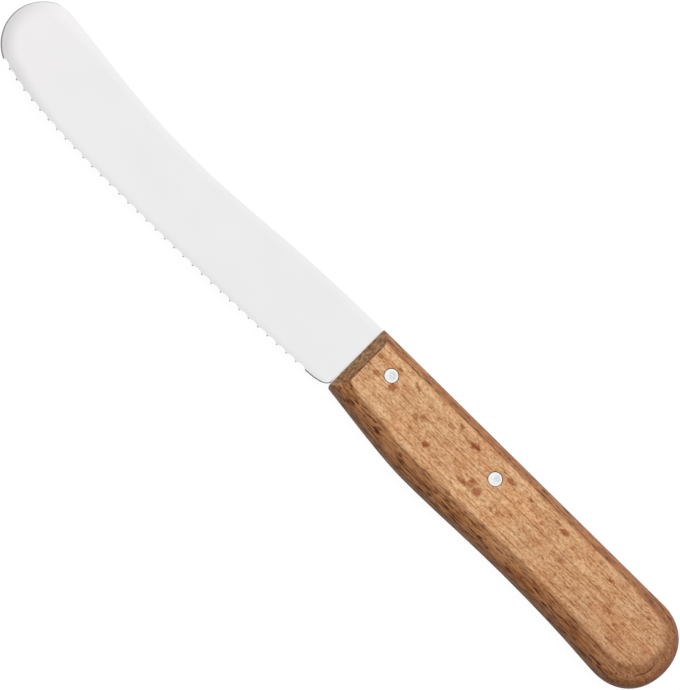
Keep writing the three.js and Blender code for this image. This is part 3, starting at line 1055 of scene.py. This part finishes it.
# A mask, and the two whose overlap it is
WOOD_OVERLAPS = (
    ("side", "leaning", "not_front"),
    ("long_side", "side", "not_butt"),
    ("brink", "near_brink", "front"),
    ("grains", "grains", "open_face"),
    ("pores", "pores", "not_butt"),
    ("dashes", "dashes", "long_side"),
    ("streaks", "fibres", "long_side"),
    ("end_grain", "end_grain", "front"),
)
# A mask, and the colour that it darkens by
WOOD_LAYERS = {
    "warmth": "#FFF5EC",
    "mottle": "#EADDD0",
    "grains": "#E1D1C0",
    "fibres": "#ECE1D6",
    "pores": "#CBB5A0",
    "growth": "#BCA897",
    "flecks": "#BC8E73",
    "rear": "#ECE5E3",
    "side": "#D1B69D",
    "streaks": "#DDD1C7",
    "dashes": "#866950",
    "butt": "#D7CBC7",
    "front": "#DFDDDB",
    "end_grain": "#BFB3A8",
    "brink": "#ECD1BF",
    "dark_arc": "#8B796C",
}

# %% Oiled beech
FIBRE_RANGE = (0.3, 0.7)
BEECH_ROUGHNESS = (0.62, 0.46)
FIBRE_RELIEF = 0.04


def oiled_beech():
    """Satin brown wood: a warm pale body, grains, lines and flecks along it, and darker sides and ends."""
    material, add, given = new_material("beech_oiled", WOOD_PATTERNS, knife_axis)
    axes = add("SeparateXYZ", {"Vector": given["place"]})
    masks = wood_cuts(add, axes)
    masks["growth"] = growth_lines(add, axes, given)
    masks["flecks"] = ray_flecks(add, given)
    masks["dark_arc"] = butt_dark_arc(add, given["place"], axes)
    for name, (low, high) in WOOD_THRESHOLDS.items():
        masks[name] = add("MapRange", {"Value": given[name], 1: low, 2: high})
    for name, first, second in WOOD_OVERLAPS:
        masks[name] = add("Math", {0: masks[first], 1: masks[second]}, operation="MULTIPLY")
    colour = add("Mix", {0: given["cloud"], 6: linear("#D2A57E"), 7: linear("#EAC69D")}, data_type="RGBA")
    for name, tint in WOOD_LAYERS.items():
        layer = {0: masks[name], 6: colour, 7: linear(tint)}
        colour = add("Mix", layer, data_type="RGBA", blend_type="MULTIPLY")
    fibres = given["fibres"]
    low, high = FIBRE_RANGE
    dullest, glossiest = BEECH_ROUGHNESS
    rough = add("MapRange", {"Value": fibres, 1: low, 2: high, 3: dullest, 4: glossiest})
    bump = add("Bump", {"Height": fibres, "Strength": 0.3, "Distance": FIBRE_RELIEF * MM})
    finish = {"Base Color": colour, "Roughness": rough, "Normal": bump}
    shader = add("BsdfPrincipled", {**finish, "IOR": 1.47, "Specular IOR Level": 0.4})
    add("OutputMaterial", {"Surface": shader})
    return material


handle.data.materials.clear()
handle.data.materials.append(oiled_beech())
settle(handle, "handle", smooth_angle=30)

# %% [markdown]
# ## The rivets
# Each rivet is a bar of soft aluminium, cut to length and spread at both ends by a punch. The spread head
# is bright and flat at its rim, with a shallow dish where the punch bit. It could be spun from a profile,
# but a cylinder is quicker: it is inset and sunk for the dish, its rim is rounded, and the shank between
# the heads is drawn in.

# %% Peened aluminium
RIVET_RECESS = 0.05
DENT_PATTERN = {"dents": ((0.55, 0.55, 0.55), 3.0)}
DENT_PATCHES = (0.4, 0.62)
DENT_RELIEF = 0.1
DISH_SHOWS = (0.005, 0.04)

rivet_end = half_thickness - RIVET_RECESS


def peened_aluminium():
    """A bright soft metal: near white at the rim, a little cooler and mottled in the dish."""
    material, add, given = new_material("aluminium_peened", DENT_PATTERN)
    dents = given["dents"]
    low, high = DENT_PATCHES
    patches = add("MapRange", {"Value": dents, 1: low, 2: high})
    pressed = add("Mix", {0: patches, 6: linear("#E2E6EB"), 7: linear("#FFFFFF")}, data_type="RGBA")
    height = add("SeparateXYZ", {"Vector": given["place"]}).outputs["Z"]
    above = add("Math", {0: height, 1: knife_axis.z / MM}, operation="SUBTRACT")
    outwards = add("Math", {0: above}, operation="ABSOLUTE")
    dish_start, dish_full = [rivet_end - sunk for sunk in DISH_SHOWS]
    dish = add("MapRange", {"Value": outwards, 1: dish_start, 2: dish_full})
    tone = add("Mix", {0: dish, 6: linear("#FCFAF7"), 7: pressed}, data_type="RGBA")
    bump = add("Bump", {"Height": dents, "Strength": 0.5, "Distance": DENT_RELIEF * MM})
    finish = {"Base Color": tone, "Roughness": 0.3, "Normal": bump}
    shader = add("BsdfPrincipled", {**finish, "Metallic": 1.0})
    add("OutputMaterial", {"Surface": shader})
    return material


aluminium = peened_aluminium()
print("finish", aluminium.name)

# %% Rivets
HEAD_HEIGHT = 0.6
HEAD_TAPER = 0.5
RIVET_RIM = 0.14
RIVET_RIM_STEPS = 4
DISH = 1.2
DISH_DEPTH = 0.08
DISH_SHARE = 0.92
DISH_STEPS = 4
FLAT = 0.99
NECK_NEAR = 0.01


def rivet(place):
    """One rivet, with both heads, at a place along the handle."""
    neck = rivet_end - HEAD_HEIGHT - HEAD_TAPER
    bpy.ops.mesh.primitive_cylinder_add(vertices=ROUND_SIDES, radius=RIVET_HEAD, depth=2 * rivet_end)
    made = bpy.context.object
    bpy.ops.object.mode_set(mode="EDIT")
    pick("EDGE", lambda edge: abs(edge.verts[0].co.z - edge.verts[1].co.z) < rivet_end)
    bpy.ops.mesh.bevel(offset=RIVET_RIM, segments=RIVET_RIM_STEPS)
    pick("FACE", lambda face: abs(face.normal.z) > FLAT)
    bpy.ops.mesh.inset(thickness=RIVET_HEAD - RIVET_RIM - DISH)
    for step in range(DISH_STEPS):
        inner = 1 - step / DISH_STEPS
        outer = 1 - (step + 1) / DISH_STEPS
        sink = DISH_DEPTH * (inner**2 - outer**2)
        bpy.ops.mesh.inset(thickness=DISH_SHARE * DISH / DISH_STEPS, depth=-sink)
    for height in (HEAD_HEIGHT - rivet_end, -neck, neck, rivet_end - HEAD_HEIGHT):
        bpy.ops.mesh.select_all(action="SELECT")
        bpy.ops.mesh.bisect(plane_co=(0, 0, height), plane_no=(0, 0, 1), threshold=SAW_SNAP)
    pick("VERT", lambda vertex: abs(vertex.co.z) < neck + NECK_NEAR)
    shank = RIVET_SHANK / RIVET_HEAD
    bpy.ops.transform.resize(value=(shank, shank, 1), center_override=(0, 0, 0))
    bpy.ops.mesh.select_all(action="SELECT")
    bpy.ops.transform.translate(value=(place, RIVET_HEIGHT, 0))
    bpy.ops.object.mode_set(mode="OBJECT")
    made.data.materials.append(aluminium)
    return made


for node, place in RIVETS.items():
    settle(rivet(place), node, smooth_angle=35)

# %% [markdown]
# ## Studio
# The knife lies on a plain white ground under a wide soft lamp that stands a little to the spine's side,
# inside a pale dome. The dome is white towards the butt and the spine and turns grey the other way, so the
# metal's slopes towards tip and edge turn grey too. The ground glows, so that it shows white with only a
# trace of the knife's shadow. In metal it shows a painted shadow: darker on the edge's side, which draws
# the rim there.

# %% Ground
FLOOR_SIZE = 6.0
FLOOR_GAP = 0.05
FLOOR_GREY = "#484848"
FLOOR_GLOW = 0.965
# Painted shadow: the ground's glow seen in metal, from the edge's side to the spine's side
FLOOR_SHADOW_IN_METAL = (0.1, 1.0)
FLOOR_SHADE = 20.0


def ray_kinds(add):
    """Two masks: rays straight from the camera, and rays that come by way of metal or glass."""
    path = add("LightPath")
    glossy = path.outputs["Is Glossy Ray"]
    through = path.outputs["Is Transmission Ray"]
    shiny = add("Math", {0: glossy, 1: through}, operation="MAXIMUM")
    return path.outputs["Is Camera Ray"], shiny


def white_ground():
    """Paper that glows a little: the eye gets an even white, and metal a painted shadow on the edge's side.
    """
    material, add, given = new_material("white_paper_ground", {})
    by_metal = ray_kinds(add)[1]
    # Painted shadow seen in metal: the ground darkens towards the edge's side
    across = add("SeparateXYZ", {"Vector": given["place"]}).outputs["Y"]
    darkest, lightest = FLOOR_SHADOW_IN_METAL
    shade = add("MapRange", {"Value": across, 1: -FLOOR_SHADE, 2: FLOOR_SHADE, 3: darkest, 4: lightest})
    glow = add("Mix", {0: by_metal, 2: FLOOR_GLOW, 3: shade})
    paper = add("BsdfDiffuse", {"Color": linear(FLOOR_GREY)})
    shine = add("Emission", {"Color": linear("#FFFFFF"), "Strength": glow})
    both = add("AddShader", {0: paper, 1: shine})
    add("OutputMaterial", {"Surface": both})
    return material


bpy.ops.mesh.primitive_plane_add(size=FLOOR_SIZE, location=(0, 0, cad_box[0][2] - FLOOR_GAP * MM))
floor = bpy.context.object
floor.name = "ground"
floor.data.materials.append(white_ground())
print(f"ground of {FLOOR_SIZE:.0f} m")

# %% Dome: how near a direction is to the brightest one, and the grey there
SKY_LEVELS = ((-1.0, 0.3), (-0.2, 0.35), (0.2, 0.5), (0.4, 0.7), (0.48, 0.81), (0.54, 0.92), (0.59, 1.0))
SKY_BRIGHTEST = Vector((0.7, 0.71, 0.58)).normalized()
SKY_FILL = 0.35

world = bpy.data.worlds.new("pale_dome")
bpy.context.scene.world = world
world.use_nodes = True
world.node_tree.nodes.clear()
add = partial(add_node, world.node_tree)
camera_ray, shiny_ray = ray_kinds(add)
direction = add("TexCoord").outputs["Generated"]
nearness = add("VectorMath", {0: direction, 1: SKY_BRIGHTEST}, operation="DOT_PRODUCT")
turned_to = add("MapRange", {"Value": nearness, 1: -1.0, 2: 1.0})
dome = add("ValToRGB", {"Fac": turned_to})
stops = dome.color_ramp.elements
for nearest, grey in SKY_LEVELS[1:-1]:
    stops.new((nearest + 1) / 2)
stops[-1].position = (SKY_LEVELS[-1][0] + 1) / 2
for stop, (nearest, grey) in zip(stops, SKY_LEVELS):
    stop.color = (grey, grey, grey, 1)
level = add("MapRange", {"Value": shiny_ray, 3: SKY_FILL, 4: 1.0})
light = add("Math", {0: dome, 1: level}, operation="MULTIPLY")
strength = add("Math", {0: light, 1: camera_ray}, operation="MAXIMUM")
backdrop = add("Background", {"Color": linear("#FFFFFF"), "Strength": strength})
add("OutputWorld", {"Surface": backdrop})
print("dome with", len(SKY_LEVELS), "levels of grey")

# %% Lamp
LAMP_SIZE = 0.55
LAMP_HEIGHT = 0.8
LAMP_LEAN = math.radians(11)
LAMP_POWER = 6.2

bpy.ops.object.light_add(
    type="AREA",
    location=(0, LAMP_HEIGHT * math.tan(LAMP_LEAN), LAMP_HEIGHT),
    rotation=(-LAMP_LEAN, 0, 0),
)
lamp = bpy.context.object
lamp.name = "soft_box"
lamp.data.shape = "DISK"
lamp.data.size = LAMP_SIZE
lamp.data.energy = LAMP_POWER
lamp.visible_glossy = False
print(f"lamp {LAMP_HEIGHT:.1f} m above the ground")

# %% [markdown]
# ## Camera
# The picture looks almost straight down on the knife, from a little on the edge's side, through a long
# lens. In the frame the knife runs from the upper left to the lower right, so the camera is rolled about
# its own line of sight.

# %% Camera
PICTURE = (680, 690)
PIXEL = 0.24285
PICTURE_CENTRE = Vector((-4.69, 0.825, 0))
VIEW_TILT = math.radians(13)
KNIFE_SLOPE = math.radians(44.88)
LENS = 600.0
SENSOR = 36.0

target = knife_axis + PICTURE_CENTRE * MM
distance = max(PICTURE) * PIXEL * MM * LENS / SENSOR
towards_camera = Vector((0, -math.sin(VIEW_TILT), math.cos(VIEW_TILT)))
bpy.ops.object.camera_add(location=target + towards_camera * distance)
camera = bpy.context.object
camera.rotation_mode = "ZYX"
camera.rotation_euler = (VIEW_TILT, 0, KNIFE_SLOPE)
camera.data.lens = LENS
camera.data.sensor_width = SENSOR
bpy.context.scene.camera = camera
bpy.context.scene.view_settings.view_transform = "Standard"
print(f"camera {distance:.3f} m from the knife")
